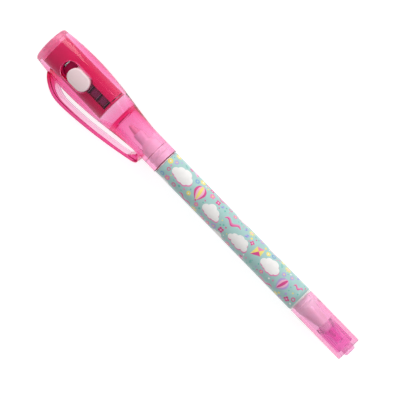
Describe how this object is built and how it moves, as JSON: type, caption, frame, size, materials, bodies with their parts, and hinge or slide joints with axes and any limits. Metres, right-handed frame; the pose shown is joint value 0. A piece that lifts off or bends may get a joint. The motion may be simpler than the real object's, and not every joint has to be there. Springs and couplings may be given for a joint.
{
  "type": "invisible ink pen with ultraviolet torch cap",
  "caption": "Double-ended pen: a fibre-tip marker for invisible ink under a translucent cap that holds a small ultraviolet torch and a clip, and a ballpoint under a tail cap.",
  "frame": {"origin": "on the pen's axis at the middle of the printed barrel", "axes": "+X along the pen from the torch end to the ballpoint end, +Z towards the slide switch, -Y towards the pocket clip"},
  "size_m": [0.1437, 0.0198, 0.0126],
  "materials": {
    "pink_clear": "clear tinted, glossy",
    "pink_frosted": "tinted, slightly frosted",
    "pink_deep": "clear tinted, deep",
    "led_epoxy": "water-clear epoxy",
    "tinned_steel": "tinned strip",
    "cell_steel": "nickel plated",
    "gasket_nylon": "moulded nylon",
    "white_gloss": "glossy",
    "print_film": "printed film, satin",
    "nib_fibre": "bonded fibre",
    "wick_fibre": "bonded fibre",
    "wrap_film": "thin film",
    "tube_clear": "natural polypropylene",
    "ink_black": "paste ink",
    "follower_grease": "clear grease",
    "tip_metal": "nickel plated",
    "ball_carbide": "polished carbide"
  },
  "bodies": {
    "pen": {"barrel": "white_gloss", "printed_sleeve": "print_film", "marker_section": "white_gloss", "fibre_nib": "nib_fibre", "ink_reservoir": "wick_fibre", "reservoir_wrap": "wrap_film", "divider_plug": "white_gloss", "ballpoint_section": "white_gloss", "refill_tube": "tube_clear", "ink_column": "ink_black", "ink_follower": "follower_grease", "ballpoint_tip": "tip_metal"},
    "torch_cap": {"cap_shell": "pink_clear", "lamp_lid": "pink_frosted", "uv_led": "led_epoxy", "led_lead_plus": "tinned_steel", "led_lead_minus": "tinned_steel", "carrier_upper": "pink_deep", "carrier_lower": "pink_deep", "button_cell_front": "cell_steel", "button_cell_middle": "cell_steel", "button_cell_rear": "cell_steel", "cell_gaskets": "gasket_nylon", "negative_contact": "tinned_steel"},
    "switch": {"slide_button": "white_gloss", "slider_contact": "tinned_steel"},
    "clip": {"pocket_clip": "pink_clear"},
    "tail": {"tail_sleeve": "pink_clear", "tail_plug": "pink_clear"},
    "ball": {"writing_ball": "ball_carbide"}
  },
  "joints": [
    {"name": "torch_cap_pull", "type": "slide", "parent": "pen", "child": "torch_cap", "axis": [-1, 0, 0], "range_m": [0, 0.03]},
    {"name": "switch_slide", "type": "slide", "parent": "torch_cap", "child": "switch", "axis": [-1, 0, 0], "range_m": [0, 0.003]},
    {"name": "clip_flex", "type": "hinge", "parent": "torch_cap", "child": "clip", "pos_m": [-0.08075, -0.0071, 0], "axis": [0, 0, -1], "range_deg": [0, 6], "stiffness_Nm_per_rad": 0.4},
    {"name": "tail_cap_pull", "type": "slide", "parent": "pen", "child": "tail", "axis": [1, 0, 0], "range_m": [0, 0.025]},
    {"name": "ball_roll", "type": "hinge", "parent": "pen", "child": "ball", "pos_m": [0.0488, 0, 0], "axis": [1, 0, 0], "continuous": true}
  ]
}
